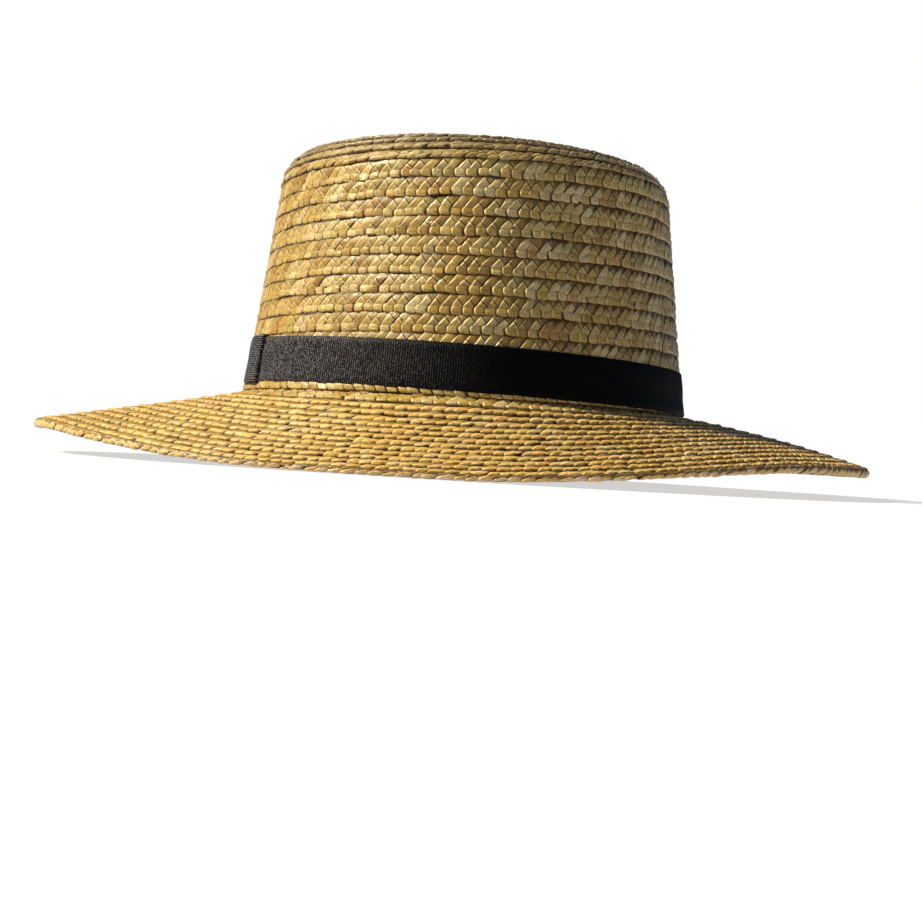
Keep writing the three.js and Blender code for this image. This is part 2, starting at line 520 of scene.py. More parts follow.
@dataclass(frozen=True)
class Tile:
    """The stretch of a strand that shows between two crossings.

    Edges are given from the bottom up, as pitches to the right and shares of the row downwards. Rise is
    the tile's height from its left to its right edge, fade scales it from the bottom up, sink lowers it,
    lobe says how far each level takes part in the rounded lobe along the lower edge, and arch lifts the
    upper levels between their ends, further to the right the more it leans.
    """

    kind: Kind
    left: tuple[tuple[float, float], ...]
    right: tuple[tuple[float, float], ...]
    shares: Numbers
    rise: Numbers
    fade: Numbers
    sink: Numbers
    lobe: Numbers
    arch: float = 0.0
    lean: float = 1.0
    shift: float = 0.05
    slide: float = 0.03
    stray: tuple[float, float] = (0.035, 0.025)
    tilt: float = 0.0002


KNUCKLE = Tile(
    kind=Kind.KNUCKLE,
    left=((0.14, 0.95), (0.12, 1.0), (0.04, 0.90), (0.00, 0.78), (0.02, 0.67), (0.16, 0.58)),
    right=((1.14, 0.95), (1.20, 1.0), (1.13, 0.90), (1.09, 0.78), (1.08, 0.68), (0.98, 0.59)),
    shares=(0.0, 0.06, 0.2, 0.5, 0.8, 1.0),
    rise=(0.0, 1.0, 0.97, 0.85, 0.6, 0.0),
    fade=(0.0, 0.9, 1.0, 1.0, 0.95, 0.5),
    sink=(0.0008, 0.0001, 0.0, 0.0, 0.0, 0.0),
    lobe=(1.0, 1.0, 0.6, 0.1, 0.0, 0.0),
)
TWIST = replace(
    KNUCKLE,
    left=((0.0, 0.95), (-0.02, 1.0), (0.10, 0.90), (0.26, 0.78), (0.44, 0.67), (0.62, 0.58)),
    right=((1.0, 0.95), (1.06, 1.0), (1.17, 0.90), (1.33, 0.78), (1.50, 0.68), (1.62, 0.59)),
    stray=(0.08, 0.03),
    shift=0.1,
)
COLLAR = replace(
    KNUCKLE,
    left=((0.20, 0.95), (0.18, 1.0), (0.08, 0.88), (-0.02, 0.76), (-0.12, 0.64), (-0.22, 0.52)),
    right=((1.20, 0.95), (1.24, 1.0), (1.13, 0.88), (1.04, 0.76), (0.94, 0.64), (0.84, 0.52)),
)
LEAF = Tile(
    kind=Kind.LEAF,
    left=((0.06, 0.74), (0.10, 0.63), (0.29, 0.48), (0.52, 0.31), (0.78, 0.12), (0.95, -0.08)),
    right=((1.12, 0.74), (1.18, 0.63), (1.38, 0.48), (1.62, 0.31), (1.88, 0.12), (2.05, -0.08)),
    shares=(0.0, 0.07, 0.25, 0.65, 1.0),
    rise=(0.0, 1.0, 0.95, 0.65, -0.1),
    fade=(0.0, 0.35, 0.85, 1.05, 0.85, 0.35),
    sink=(0.0004, 0.0001, 0.0, 0.0, 0.0, 0.00025),
    lobe=(0.0,) * 6,
    stray=(0.06, 0.035),
    tilt=0.00015,
)
GRAIN = Tile(
    kind=Kind.GRAIN,
    left=((-0.05, 0.97), (-0.04, 1.0), (0.02, 0.94), (0.10, 0.87), (0.20, 0.80), (0.32, 0.74), (0.46, 0.69)),
    right=((0.95, 0.97), (1.02, 1.0), (1.09, 0.94), (1.18, 0.87), (1.28, 0.80), (1.40, 0.73), (1.52, 0.67)),
    shares=(0.0, 0.08, 0.25, 0.5, 0.78, 1.0),
    rise=(0.1, 0.85, 1.0, 0.9, 0.6, 0.05),
    fade=(0.0, 0.25, 0.65, 0.92, 1.0, 0.8, 0.2),
    sink=(0.0010, 0.0003, 0.0, 0.0, 0.0, 0.0, 0.0002),
    lobe=(1.0, 1.0, 0.6, 0.2, 0.0, 0.0, 0.0),
    arch=0.14,
    lean=1.3,
    shift=0.1,
    stray=(0.07, 0.035),
)
RIM_GRAIN = replace(
    GRAIN,
    kind=Kind.RIM_GRAIN,
    left=((-0.05, 0.97), (-0.04, 1.0), (0.02, 0.93), (0.10, 0.85), (0.20, 0.77), (0.32, 0.70), (0.46, 0.64)),
    right=((0.95, 0.97), (1.02, 1.0), (1.09, 0.93), (1.18, 0.85), (1.28, 0.77), (1.40, 0.69), (1.52, 0.62)),
)
SUNK_LEAF = replace(
    LEAF,
    kind=Kind.SUNK_LEAF,
    sink=(0.0003, 0.0003, 0.0004, 0.0005, 0.0006, 0.0009),
    shift=0.09,
)
RIM_LEAF = replace(SUNK_LEAF, kind=Kind.RIM_LEAF)


@dataclass(frozen=True)
class Plait:
    """A flat plait of straw strands: knuckles along its lower edge and crossings above them."""

    pitch: float = 0.0043
    step: float = 0.0002
    bulge: float = 0.0001
    ramp_power: float = 0.8
    round_from: float = 0.9
    round_share: float = 0.25
    strand: float = 0.0004
    thickness: tuple[float, float] = (0.65, 1.35)
    stray_fade: float = 4.0
    scallop: float = 0.045
    lobe: float = 0.00015
    lobe_start: float = 0.06
    lobe_span: float = 0.9
    lobe_mean: float = 0.7
    tuck: float = 0.00025
    tuck_above: float = 0.0004
    tuck_below: float = 0.0006
    drop: float = 0.0005
    margin: float = 0.02
    layers: tuple[Tile, ...] = (KNUCKLE, LEAF)
    backing: Numbers = (0.96, 0.9, 0.5, 0.1, -0.14)
    backing_foot: float = 0.95
    inner_shares: Numbers = (0.04, 0.25, 0.55, 0.85)
    inner_across: Numbers = (0.02, 0.0, 0.12, 0.45, 0.75, 1.0, 1.14)
    inner_thickness: tuple[float, float] = (0.7, 0.6)
    inner_edge: float = 0.12
    inner_fall: float = 0.8
    inner_hem: float = 0.6
    inner_slant: float = 0.9
    inner_middle: float = 0.45

    def rise(self, across: Grid) -> Grid:
        """Height of a row above the wall: a ramp to its lower edge, a slight bulge, rounded off there."""
        inside = np.clip(across, 0.0, 1.0)
        ramp = self.step * inside ** self.ramp_power + self.bulge * np.sin(pi * inside)
        past = np.clip((across - self.round_from) / (1.0 - self.round_from), 0.0, 1.0)
        return ramp - self.drop - self.round_share * self.step * past ** 2

    def tiles(self, course: Course, tile: Tile, lanes: Grid, seed: int) -> Mesh:
        """Lays one tile in each lane of a course.

        A tile is ruled from its left to its right edge. Its left edge stands over the tile before it and
        its right edge dips under the next one; each is shifted, slid and thickened a little by chance.

        Args:
            course: the row.
            tile: which tile.
            lanes: the lanes to fill.
            seed: what the irregularities are drawn from.

        Returns:
            The mesh.
        """
        draw = np.random.default_rng(seed)
        one = (lanes.size, 1, 1)
        levels = np.linspace(0.0, 1.0, len(tile.left))
        knots = np.maximum(0.0, 1.0 - 2.0 * np.abs(levels[None, :] - np.array([[0.0], [0.5], [1.0]])))
        share = np.array(tile.shares)[None, :, None]
        left = np.array(tile.left)[None, None]
        right = np.array(tile.right)[None, None]
        rise, fade = np.array(tile.rise)[None, :, None], np.array(tile.fade)[None, None, :]
        sink, lobe = np.array(tile.sink)[None, None, :], np.array(tile.lobe)[None, None, :]
        stray = np.einsum("nkc,kl->nlc", draw.normal(0.0, tile.stray, (lanes.size, 3, 2)), knots)[:, None]
        stray[..., 1] = stray[..., 1] * np.clip(self.stray_fade * (1.0 - left[..., 1]), 0.0, 1.0)
        edge = left + stray + (right - left - stray) * share[..., None]
        shift = draw.normal(0.0, tile.shift, one)
        slide = draw.normal(0.0, tile.slide, one)
        thick = draw.uniform(*self.thickness, one)
        roll, pitch = draw.normal(0.0, tile.tilt, (2, *one))
        number = lanes[:, None, None]
        across = edge[..., 1] + slide * np.clip(2.0 * (1.0 - edge[..., 1]), 0.0, 1.0)
        across = across - tile.arch * levels ** 2 * np.sin(pi * share ** tile.lean)
        round_off = np.sin(pi * (self.lobe_start + self.lobe_span * share))
        out = self.rise(across) + self.strand * thick * rise * fade - sink
        out = out - self.lobe * lobe * (1.0 - round_off)
        out = out + roll * (share - 0.5) + 2.0 * pitch * (levels - 0.5)
        across = across + self.scallop * lobe * (round_off - self.lobe_mean)
        points = course.place(number + edge[..., 0] + shift, across, out)
        along = number + course.first_number + self.margin + (1.0 - 2.0 * self.margin) * share
        return patch_mesh(points, flat_marks(along, 2.0 * tile.kind.value + levels))

    def back(self, course: Course, lanes: Grid) -> Mesh:
        """Lays the ground that shows between the tiles: the bare ramp of the row, painted dark as shade."""
        columns = np.arange(2 * lanes.size + 1)[:, None] / 2.0 + lanes[0]
        across = np.array(self.backing)[None, :]
        out = self.rise(across) - self.tuck
        out = out - self.tuck_above * (across < 0.0) - self.tuck_below * (across > self.backing_foot)
        points = course.place(columns, across, np.broadcast_to(out, (columns.size, across.size)))
        return patch_mesh(points, flat_marks(columns * 0.5, -1.0 + 0.0 * across))

    def outside(self, course: Course, lanes: Grid, seed: int) -> list[Mesh]:
        """Lays the outside of a stretch of plait: its ground and each layer of tiles."""
        ground = self.back(course, lanes)
        return [ground, *(self.tiles(course, tile, lanes, seed + layer)
                          for layer, tile in enumerate(self.layers))]

    def inside(self, course: Course, lanes: Grid, seed: int, wall: float) -> Mesh:
        """Lays the inner side of a stretch of plait.

        Seen from inside a row is proud at its upper edge, so its ramp runs the other way; slanted strands
        rise at one edge and sink at the other.

        Args:
            course: the row.
            lanes: the lanes to fill.
            seed: what the irregularities are drawn from.
            wall: the straw wall's thickness.

        Returns:
            The mesh.
        """
        shares = np.array(self.inner_shares)
        across = np.array(self.inner_across)[None, :]
        lane = np.repeat(np.append(lanes, lanes[-1] + 1), shares.size)[:1 - shares.size, None]
        share = np.tile(shares, lanes.size + 1)[:1 - shares.size, None]
        least, spread = self.inner_thickness
        thick = least + spread * np.random.default_rng(seed).random(course.lanes + 2)[lane % course.lanes]
        within = np.clip(across, 0.0, 1.0)
        row = self.step * (1.0 - within) ** self.ramp_power + self.bulge * np.sin(pi * within)
        tile = smooth_step(0.0, self.inner_edge, share) * (1.0 - self.inner_fall * share)
        out = -wall - row - self.strand * thick * tile
        out[:, [0, -1]] = -self.inner_hem * wall
        slant = self.inner_slant * np.abs(across - self.inner_middle)
        points = course.place(lane + share + slant, across, out)
        return patch_mesh(points, flat_marks(lane + share + 1.0, within))


CROWN_PLAIT = Plait()
BRIM_PLAIT = Plait(step=0.0003, drop=0.0009)


class Value:
    """A number in a shader, which takes part in plain sums and products."""

    def __init__(self, board: "NodeBoard", socket: Socket) -> None:
        """Keeps the socket that gives the number."""
        self.board = board
        self.socket = socket

    def __add__(self, other: "Number") -> "Value":
        """Adds."""
        return self.do("ADD", other)

    def __sub__(self, other: "Number") -> "Value":
        """Takes away."""
        return self.do("SUBTRACT", other)

    def __rsub__(self, other: float) -> "Value":
        """Is taken away from a plain number."""
        return self.board.math("SUBTRACT", other, self)

    def __mul__(self, other: "Number") -> "Value":
        """Multiplies."""
        return self.do("MULTIPLY", other)

    def __abs__(self) -> "Value":
        """Drops the sign."""
        return self.do("ABSOLUTE")

    __radd__ = __add__
    __rmul__ = __mul__

    def do(self, operation: str, *others: "Number") -> "Value":
        """Takes part in a plain operation, first of its numbers."""
        return self.board.math(operation, self, *others)

    def most(self, *others: "Value") -> "Value":
        """Takes the greatest of several."""
        result = self
        for other in others:
            result = result.do("MAXIMUM", other)
        return result

    def ease(self, low: float, high: float, start: float = 0.0, end: float = 1.0) -> "Value":
        """Eases smoothly from start to end while the value goes from low to high."""
        options = {"interpolation_type": "SMOOTHSTEP"}
        node = self.board.add("ShaderNodeMapRange", options, Value=self, From_Min=low, From_Max=high,
                              To_Min=start, To_Max=end)
        return Value(self.board, node.outputs["Result"])


Number = Value | float


class NodeBoard:
    """Short ways to add and join shader nodes."""

    def __init__(self, material: Material) -> None:
        """Starts from a material's own shader."""
        material.use_nodes = True
        self.tree = material.node_tree
        self.shader = self.tree.nodes["Principled BSDF"]

    def add(self, kind: str, options: dict[str, str] | None = None, **inputs: object) -> bpy.types.Node:
        """Adds a node and sets or links its inputs by name.

        Args:
            kind: the node's type.
            options: the node's own settings.
            **inputs: values or sockets, with underscores for the blanks in input names.

        Returns:
            The node.
        """
        node = self.tree.nodes.new(kind)
        for name, value in (options or {}).items():
            setattr(node, name, value)
        for name, value in inputs.items():
            self.feed(node.inputs[name.replace("_", " ")], value)
        return node

    def feed(self, socket: Socket, value: object) -> None:
        """Links a socket to another, or sets its value."""
        if isinstance(value, Value):
            value = value.socket
        if isinstance(value, Socket):
            self.tree.links.new(value, socket)
        else:
            socket.default_value = value

    def dress(self, inputs: dict[str, object]) -> None:
        """Sets or links inputs of the material's shader."""
        for name, value in inputs.items():
            self.feed(self.shader.inputs[name], value)

    def math(self, operation: str, *values: Number) -> Value:
        """Adds a sum, product or other plain operation."""
        node = self.add("ShaderNodeMath", {"operation": operation})
        for socket, value in zip(node.inputs, values):
            self.feed(socket, value)
        return Value(self, node.outputs["Value"])

    def blend(self, share: Number, first: object, second: object, kind: str = "MIX") -> Socket:
        """Mixes two colours."""
        node = self.add("ShaderNodeMix", {"data_type": "RGBA", "blend_type": kind})
        for name, value in (("Factor", share), ("A", first), ("B", second)):
            self.feed(node.inputs[name], value)
        return node.outputs["Result"]

    def times(self, colour: Socket, tint: object) -> Socket:
        """Multiplies a colour by a tint."""
        return self.blend(1.0, colour, tint, "MULTIPLY")

    def ramp(self, value: Value, stops: Stops) -> Socket:
        """Reads a colour from a row of stops."""
        node = self.add("ShaderNodeValToRGB", Fac=value)
        elements = node.color_ramp.elements
        while len(elements) < len(stops):
            elements.new(1.0)
        for element, (place, colour) in zip(elements, stops):
            element.position = place
            element.color = (*colour, 1.0)
        return node.outputs["Color"]

    def grey(self, tone: Value) -> Socket:
        """Gives a grey of a tone."""
        return self.add("ShaderNodeCombineColor", Red=tone, Green=tone, Blue=tone).outputs["Color"]

    def chance(self, number: Value) -> Value:
        """Draws a value between 0 and 1 for each number."""
        node = self.add("ShaderNodeTexWhiteNoise", {"noise_dimensions": "1D"}, W=number)
        return Value(self, node.outputs["Value"])

    def noise(self, rate: float, detail: float, dimensions: str = "3D", **place: object) -> Value:
        """Gives a noise over a place or along a number."""
        options = {"noise_dimensions": dimensions}
        node = self.add("ShaderNodeTexNoise", options, Scale=rate, Detail=detail, **place)
        return Value(self, node.outputs["Fac"])

    def bump(self, height: Value, strength: float, depth: float) -> Socket:
        """Gives a normal that follows a fine relief."""
        node = self.add("ShaderNodeBump", Height=height, Strength=strength, Distance=depth)
        return node.outputs["Normal"]

    def spot(self, first: Value, second: Value) -> Socket:
        """Joins two numbers into a place."""
        return self.add("ShaderNodeCombineXYZ", X=first, Y=second).outputs["Vector"]

    def split(self, place: Socket) -> tuple[Value, Value, Value]:
        """Parts a place into its three numbers."""
        node = self.add("ShaderNodeSeparateXYZ", Vector=place)
        x, y, z = (Value(self, node.outputs[axis]) for axis in "XYZ")
        return x, y, z

    def flat(self) -> tuple[Value, Value]:
        """Gives the two coordinates of a piece's flat map."""
        return self.split(self.add("ShaderNodeUVMap", {"uv_map": FLAT_MAP}).outputs["UV"])[:2]

    def place(self) -> Socket:
        """Gives a point's place on the hat."""
        return self.add("ShaderNodeTexCoord").outputs["Object"]


class Strand:
    """What a flat map tells of a point: which strand it lies on, where on it, and of what kind it is.

    The map's first coordinate is the strand's number plus the share from its left edge. The second runs
    up the tile from twice the value of its kind, and is -1 for the ground.
    """

    layer_offset: float = 0.37
    draw_offset: float = 0.11

    def __init__(self, board: NodeBoard) -> None:
        """Reads the map and draws the strand's chances.

        A leaf may be crossed by the next one: over says how far a point lies beyond that slanted line,
        and step is 1 beyond it.

        Args:
            board: the material's nodes.
        """
        self.along, self.up = board.flat()
        self.share = self.along.do("FRACT")
        kind = (self.up * 0.5).do("FLOOR")
        self.level = self.up - kind * 2.0
        self.ground = self.up.do("LESS_THAN", -0.5)
        kinds = {member: kind.do("COMPARE", member.value, 0.1) for member in Kind}
        self.knuckle = kinds[Kind.KNUCKLE]
        self.leaf = kinds[Kind.LEAF]
        self.rim = kinds[Kind.RIM_GRAIN]
        self.rim_leaf = kinds[Kind.RIM_LEAF]
        self.grain = self.rim.most(kinds[Kind.GRAIN])
        self.sunk = self.rim_leaf.most(kinds[Kind.SUNK_LEAF])
        self.slanted = self.leaf.most(self.sunk)
        self.number = self.along.do("FLOOR") + self.grain.most(self.sunk) * self.layer_offset
        self.chance = board.chance(self.number)
        self.luck = board.chance(self.number + self.draw_offset)
        self.over = self.level - 0.72 + self.share * 0.45 - (self.chance - 0.4) * 0.35
        self.crossed = self.leaf * self.luck.ease(0.1, 0.4)
        self.step = self.over.ease(-0.03, 0.03) * self.crossed


@dataclass(frozen=True)
class StrawFinish:
    """Dry wheat straw: golden strands of uneven colour, painted shade in the gaps, pale edges, waxy.

    Where a line or patch starts and ends is given to ease as shares of a tile's width and height.
    """

    name: str
    strands: Stops = (
        (0.0, (0.26, 0.158, 0.036)),
        (0.2, (0.335, 0.214, 0.046)),
        (0.45, (0.365, 0.249, 0.057)),
        (0.65, (0.355, 0.263, 0.084)),
        (0.82, (0.415, 0.307, 0.112)),
        (1.0, (0.455, 0.357, 0.170)),
    )
    patches: Stops = (
        (0.30, (0.95, 1.02, 1.05)),
        (0.42, (1.0, 1.0, 1.0)),
        (0.56, (1.0, 1.0, 1.0)),
        (0.70, (1.03, 0.96, 1.12)),
    )
    patch_rate: float = 0.31
    # Pale colour of edges: partly wear, partly painted highlight where edges face the key light.
    edge: Colour = (0.62, 0.50, 0.26, 1.0)
    # Painted shade colour, laid in the gaps between and under the strands where shade falls.
    gap: Colour = (0.042, 0.0145, 0.0025, 1.0)
    painted_shade_strength: float = 0.93
    brim_tint: Colour = (1.0, 0.975, 1.18, 1.0)
    rim_tint: Colour = (1.1, 1.04, 1.25, 1.0)
    # Greyer colour towards the top of the crown, and the heights over which it comes in.
    top_grey: Colour = (0.148, 0.128, 0.095, 1.0)
    top_grey_heights: Numbers = (0.107, 0.121, 0.0, 0.8)
    # The painted shade is softer on the lit left, stronger in the notches on the shaded right, and its dots
    # reach further up the brim's grains on the left.
    shade_softer_left: Numbers = (-0.12, -0.045, 0.5, 1.0)
    notch_shade_right: Numbers = (-0.01, 0.06, 0.2, 1.0)
    dot_shade_left: Numbers = (-0.03, -0.09, 0.0, 0.26)
    bump_strength: float = 0.8
    bump_depth: float = 0.0003
    gloss: float = 0.4

    def material(self) -> Material:
        """Builds the material: coloured strands, greyer on top, pale edges of wear and painted highlight,
        and painted shade in the gaps.

        Returns:
            The material.
        """
        made = bpy.data.materials.new(self.name)
        board = NodeBoard(made)
        strand = Strand(board)
        side, _, height = board.split(board.place())
        along = strand.along * (3.5 + strand.slanted * 6.0)
        up = strand.up * (8.0 - strand.slanted * 5.0)
        streak = board.noise(1.0, 3.0, Vector=board.spot(along, up))
        colour = self.colour(board, strand, streak)
        # Greyer towards the top of the crown.
        colour = board.blend(height.ease(*self.top_grey_heights), colour, self.top_grey)
        # Pale edges: partly wear, partly painted highlight.
        colour = board.blend(self.wear_and_highlight(strand), colour, self.edge)
        # Painted shade in the gaps, clefts and notches and under the rows.
        colour = board.blend(self.dark(strand, side) * self.painted_shade_strength, colour, self.gap)
        dull = streak.ease(0.3, 0.7, 0.28, 0.5) * strand.luck.ease(0.95, 0.75, 0.55, 1.0)
        board.dress({
            "Base Color": colour,
            "Normal": board.bump(streak - strand.step * 0.5, self.bump_strength, self.bump_depth),
            "Roughness": dull + strand.grain * 0.15,
            "Specular IOR Level": self.gloss,
        })
        return made

    def colour(self, board: NodeBoard, strand: Strand, streak: Value) -> Socket:
        """Colours each strand by chance and in streaks, with painted shade beyond a crossing; the brim's
        grains are painted lighter, for the light that falls on the brim, and darker towards their right
        ends as painted shade.

        Args:
            board: the material's nodes.
            strand: where the point lies.
            streak: noise along the strands.

        Returns:
            The colour.
        """
        evened = strand.chance + strand.grain * (0.5 * (0.5 - strand.chance))
        colour = board.ramp(evened, self.strands)
        drift = board.noise(1.0, 1.0, "1D", W=strand.number * self.patch_rate)
        # Painted shade: darker beyond the line where a leaf is crossed.
        tone = streak.ease(0.32, 0.68, 0.65, 1.25) * (1.08 - strand.step * 0.22)
        # Painted light: the brim's grains are made lighter for the light that falls on the brim, less so
        # towards their right ends, as painted shade.
        tone = tone * (1.0 + strand.grain * (0.57 - strand.share * 0.25))
        colour = board.times(board.times(colour, board.ramp(drift, self.patches)), board.grey(tone))
        colour = board.blend(strand.grain, colour, board.times(colour, self.brim_tint))
        return board.blend(strand.rim, colour, board.times(colour, self.rim_tint))

    def wear_and_highlight(self, strand: Strand) -> Value:
        """Says how pale a point is made: left edges, the brim's crests and the lip before a crossing, partly
        wear and partly painted highlight where these edges face the key light from the upper left.

        Args:
            strand: where the point lies.

        Returns:
            The share of the pale colour.
        """
        share, level, over = strand.share, strand.level, strand.over
        # Painted highlight on the lip before a crossing and on the brim's crests; on left edges partly wear,
        # partly painted highlight.
        lip = over.ease(-0.14, -0.03) * over.ease(0.02, -0.01) * (strand.crossed * 0.4)
        left = share.ease(0.2, 0.05) * (1.0 - (strand.sunk + strand.grain * 0.5))
        crest_highlight = share.ease(0.55, 0.15) * level.ease(0.35, 0.65) * (strand.grain * 0.5)
        return left.most(crest_highlight, lip) * (0.2 + strand.luck * 0.8)

    def dark(self, strand: Strand, side: Value) -> Value:
        """Says how much painted shade a point gets, where shade falls: in the clefts between strands, under
        the rows, in the notches, on the grains' lower faces and on the bare ground.

        The painted shade is softer to the left of the hat, where the key light falls, stronger in the
        notches to the right, on the shaded side, and its dots at the ends of the brim's grains are longer
        to the left.

        Args:
            strand: where the point lies.
            side: how far it lies to the right.

        Returns:
            The share of the painted shade colour.
        """
        share, level, over = strand.share, strand.level, strand.over
        # Each of these masks is painted shade: dark lines and patches where shade falls in the plait.
        crossing = over.ease(-0.015, 0.01) * over.ease(0.07, 0.035, 0.0, 0.9) * strand.crossed
        cleft_shade = share.ease(0.77, 0.84) * level.ease(0.10, 0.25)
        cleft_shade = cleft_shade * (strand.knuckle * level.ease(0.9, 0.4, 0.6, 1.0))
        tucked_shade = share.ease(0.79, 0.86) * level.ease(0.95, 0.35, 0.75, 1.0) * strand.slanted
        roof_shade = level.ease(0.84, 0.97, 0.0, 0.2) * strand.knuckle
        corner = level + abs(share - 0.35) * 0.7
        notch_shade = corner.ease(0.83, 0.93, 0.0, 0.9) * strand.leaf * side.ease(*self.notch_shade_right)
        under_row_shadow = level.ease(0.84, 0.89, 0.0, 0.97) * strand.slanted
        # Painted shade on the lower faces of the brim's grains and under the row above them.
        foot = level.ease(0.30, 0.08, 0.0, 0.4) * (strand.grain - strand.rim)
        back = level.ease(0.86, 0.97, 0.0, 0.9) * strand.grain
        sunk_shade = strand.sunk * 0.25 + strand.rim_leaf * 0.4
        lines = cleft_shade.most(tucked_shade, under_row_shadow, notch_shade, foot, back, roof_shade, crossing, sunk_shade)
        # Painted shade dots in the wedges between the brim's grains.
        dot_shade = share.ease(0.6, 0.9) * (level - side.ease(*self.dot_shade_left)).ease(0.6, 0.25)
        return (lines * side.ease(*self.shade_softer_left)).most(dot_shade * (strand.grain * 0.95), strand.ground)


@dataclass(frozen=True)
class RibbonFinish:
    """Nearly black grosgrain: each rib a little different, painted shade in the grooves, a soft sheen on
    the ribs, and painted lighter to the left of the hat, where the key light falls.
    """

    name: str
    ribs: Stops = (
        (0.0, (0.0065, 0.0071, 0.0112)),
        (1.0, (0.059, 0.060, 0.075)),
    )
    # Painted shade colour in the grooves between the ribs.
    groove_shade: Colour = (0.001, 0.001, 0.0012, 1.0)
    # Painted light: the ribbon is made lighter to the left of the hat, where the key light falls, and near
    # black to the right.
    painted_light_left: Numbers = (-0.1, 0.022, 2.6, 0.04)
    fibre_rates: tuple[float, float] = (0.9, 60.0)
    fleck_rate: float = 1300.0
    bump_strength: float = 0.6
    bump_depth: float = 0.0002
    roughness: float = 0.5
    gloss: float = 0.05
    sheen: float = 0.03
    sheen_roughness: float = 0.4

    def material(self) -> Material:
        """Builds the material; the flat map's first coordinate counts ribs, its second runs along them.

        Returns:
            The material.
        """
        made = bpy.data.materials.new(self.name)
        board = NodeBoard(made)
        count, along = board.flat()
        place = board.place()
        spot = board.spot(count * self.fibre_rates[0], along * self.fibre_rates[1])
        fibre = board.noise(1.0, 2.0, Vector=spot)
        fleck = board.noise(self.fleck_rate, 1.0, Vector=place)
        # Painted light: lighter to the left of the hat, near black to the right; the flecks are the ribbon's
        # own.
        tone = board.split(place)[0].ease(*self.painted_light_left) * fleck.ease(0.38, 0.64, 0.3, 2.0)
        colour = board.times(board.ramp(fibre.ease(0.3, 0.72), self.ribs), board.grey(tone))
        # Painted shade in the grooves between the ribs.
        away = abs(count.do("FRACT") - 0.5)
        board.dress({
            "Base Color": board.blend(away.ease(0.34, 0.14), colour, self.groove_shade),
            "Normal": board.bump(fleck, self.bump_strength, self.bump_depth),
            "Roughness": self.roughness,
            "Specular IOR Level": self.gloss,
            "Sheen Weight": self.sheen,
            "Sheen Roughness": self.sheen_roughness,
        })
        return made


@dataclass
class Crown:
    """The crown: one plait that runs in a spiral from the middle of the tip down behind the band."""

    wall: Wall
    plait: Plait = CROWN_PLAIT
    rows: CrownRows = CrownRows()
    tip_step: float = 0.0012
    tip_drop: float = 0.4
    knot_radius: float = 0.0036
    knot_height: float = 0.0003
    knot_depth: float = 0.0009
    knot_columns: int = 24
    knot_rows: int = 4
    foot_edge: float = 0.1647
    foot_lap: float = 0.3
    foot_depth: float = 0.0006
    tip_seed: int = 3
    side_seed: int = 7
    inside_seed: int = 5
    foot_seed: int = 31

    def knot(self, out: float, edge: float, flip: bool) -> Mesh:
        """Closes the middle of the tip, where the spiral starts, with a shallow disc marked as a leaf.

        Args:
            out: how far the disc's middle stands off the wall.
            edge: how far its edge stands off the wall.
            flip: whether its faces are turned round.

        Returns:
            The mesh, a parabola from its middle to its edge.
        """
        azimuth = np.linspace(0.0, 2.0 * pi, self.knot_columns + 1)[:, None]
        share = np.linspace(0.0, 1.0, self.knot_rows + 1)[None, :]
        length = self.knot_radius * share + 0.0 * azimuth
        points = self.wall.point(length, azimuth + 0.0 * share, out + (edge - out) * share ** 2)
        return patch_mesh(points, flat_marks(1.2 + 0.03 * azimuth, 2.3 + 0.2 * share), flip)

    def build(self, finish: Material) -> None:
        """Makes the tip, the side and their inner faces."""
        wall = self.wall.form.straw_wall
        spiral = Spiral(self.wall, self.rows, self.plait.pitch)
        shoulder = spiral.lane_above(self.rows.side_rows)
        drop = self.plait.drop + self.tip_drop * self.tip_step
        steep = replace(self.plait, step=self.tip_step, drop=drop, layers=(TWIST, LEAF))
        tip = steep.outside(spiral, np.arange(shoulder, spiral.lanes - 1), self.tip_seed)
        tip.append(self.knot(self.knot_height, -self.knot_depth, True))
        wear("crown_tip", tip, Solid.CROWN, finish)
        side = self.plait.outside(spiral, np.arange(0, shoulder), self.side_seed)
        wear("crown_side", side, Solid.CROWN, finish)
        lanes = np.arange(spiral.lanes - 1)
        under = -wall - self.knot_height
        lap = self.foot_lap * self.rows.side_row
        foot = Ring(self.wall, self.foot_edge - self.rows.side_row, self.foot_edge + lap, self.plait.pitch,
                    self.foot_seed)
        inside = [
            self.plait.inside(spiral, lanes, self.inside_seed, wall),
            self.knot(under, under, False),
            self.plait.inside(foot, np.arange(foot.lanes), foot.seed, wall - self.foot_depth),
        ]
        wear("crown_inside", inside, Solid.CROWN, finish)


